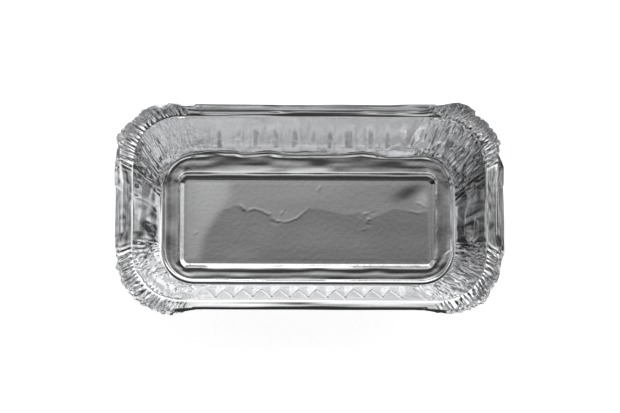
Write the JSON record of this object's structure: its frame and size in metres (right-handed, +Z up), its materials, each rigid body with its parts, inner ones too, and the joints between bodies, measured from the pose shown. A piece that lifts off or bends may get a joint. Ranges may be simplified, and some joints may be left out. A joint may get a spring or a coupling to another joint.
{
  "type": "foil food tray",
  "caption": "Oblong disposable tray for hot food, pressed from thin aluminium foil, with fluted walls, a stepped base, pleated corners and an upstanding lip that folds over a lid.",
  "frame": {"origin": "middle of the underside of the base panel, on the table that the tray stands on", "axes": "+X along the length of the tray, +Y across its width, +Z up out of its mouth"},
  "size_m": [0.1978, 0.107, 0.0517],
  "materials": {
    "foil": "bright rolled foil with fine wrinkles"
  },
  "bodies": {
    "root": {"foil_tray": "foil"}
  },
  "joints": []
}
